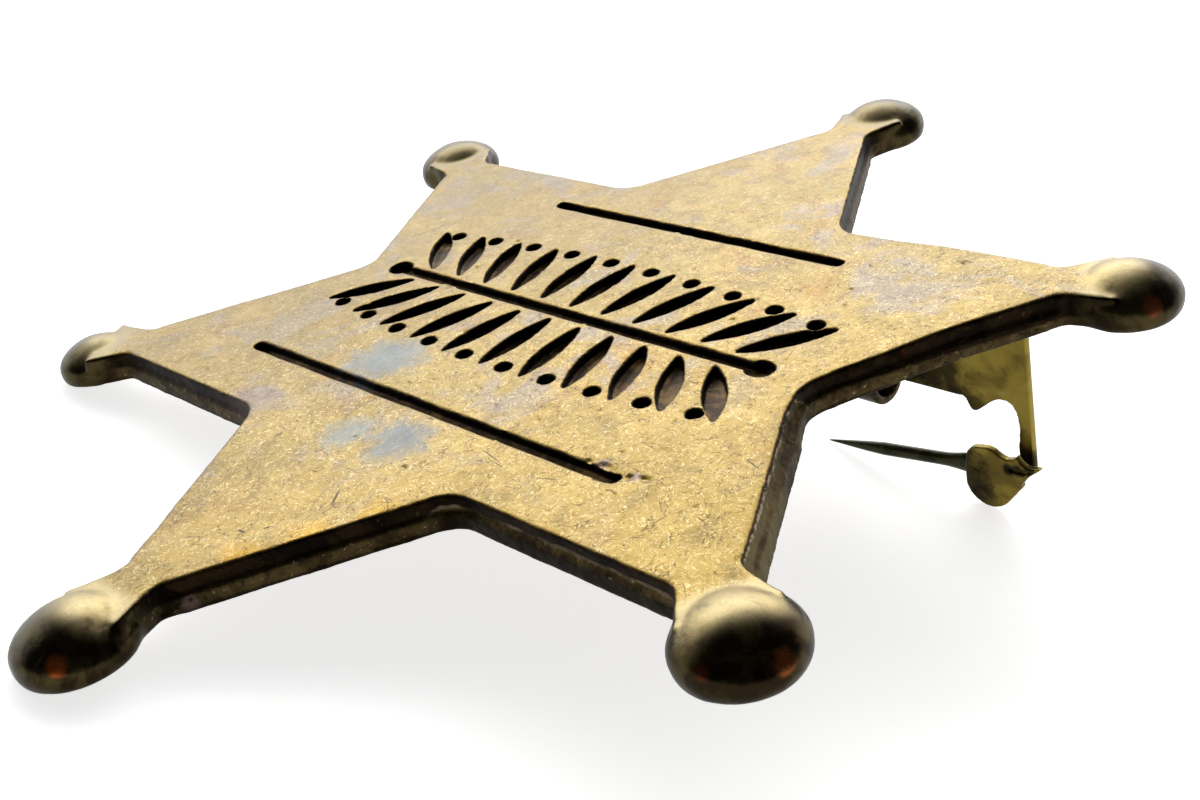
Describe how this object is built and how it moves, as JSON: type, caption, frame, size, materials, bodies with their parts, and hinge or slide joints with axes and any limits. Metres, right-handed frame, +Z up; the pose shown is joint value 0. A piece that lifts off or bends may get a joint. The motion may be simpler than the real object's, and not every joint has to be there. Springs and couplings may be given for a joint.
{
  "type": "sheriff star badge",
  "caption": "Star badge with a flattened ball on each tip, sunk lines and leaf spray on the face, and a hinged pin with a catch on the back.",
  "frame": {"origin": "middle of the bottom of the whole badge's box, on the table that the badge lies on", "axes": "+Z up from the table; +Y the way the star's upper arm points as seen from above; +X to the right of it. The badge lies face up and leans 14 degrees, because its open pin props up the side at +X +Y"},
  "size_m": [0.0626, 0.0698, 0.0171],
  "materials": {
    "aged_brass": "polished face with tarnish, dark brown patina on the side walls and in the sunk lines",
    "sheet_brass": "stamped sheet with an olive brown patina",
    "rivet_brass": "dull, flush with the sheet",
    "needle_wire": "dark drawn wire, worn smooth"
  },
  "bodies": {
    "badge": {"star": "aged_brass", "pin_frame": "sheet_brass", "hinge_rivet": "rivet_brass"},
    "needle": {"needle": "needle_wire"}
  },
  "joints": [
    {"name": "needle_swing", "type": "hinge", "parent": "badge", "child": "needle", "pos_m": [0.02134, 0.01421, 0.00311], "axis": [-0.0129, 0.9777, 0.2096], "range_deg": [-85, 25]}
  ]
}
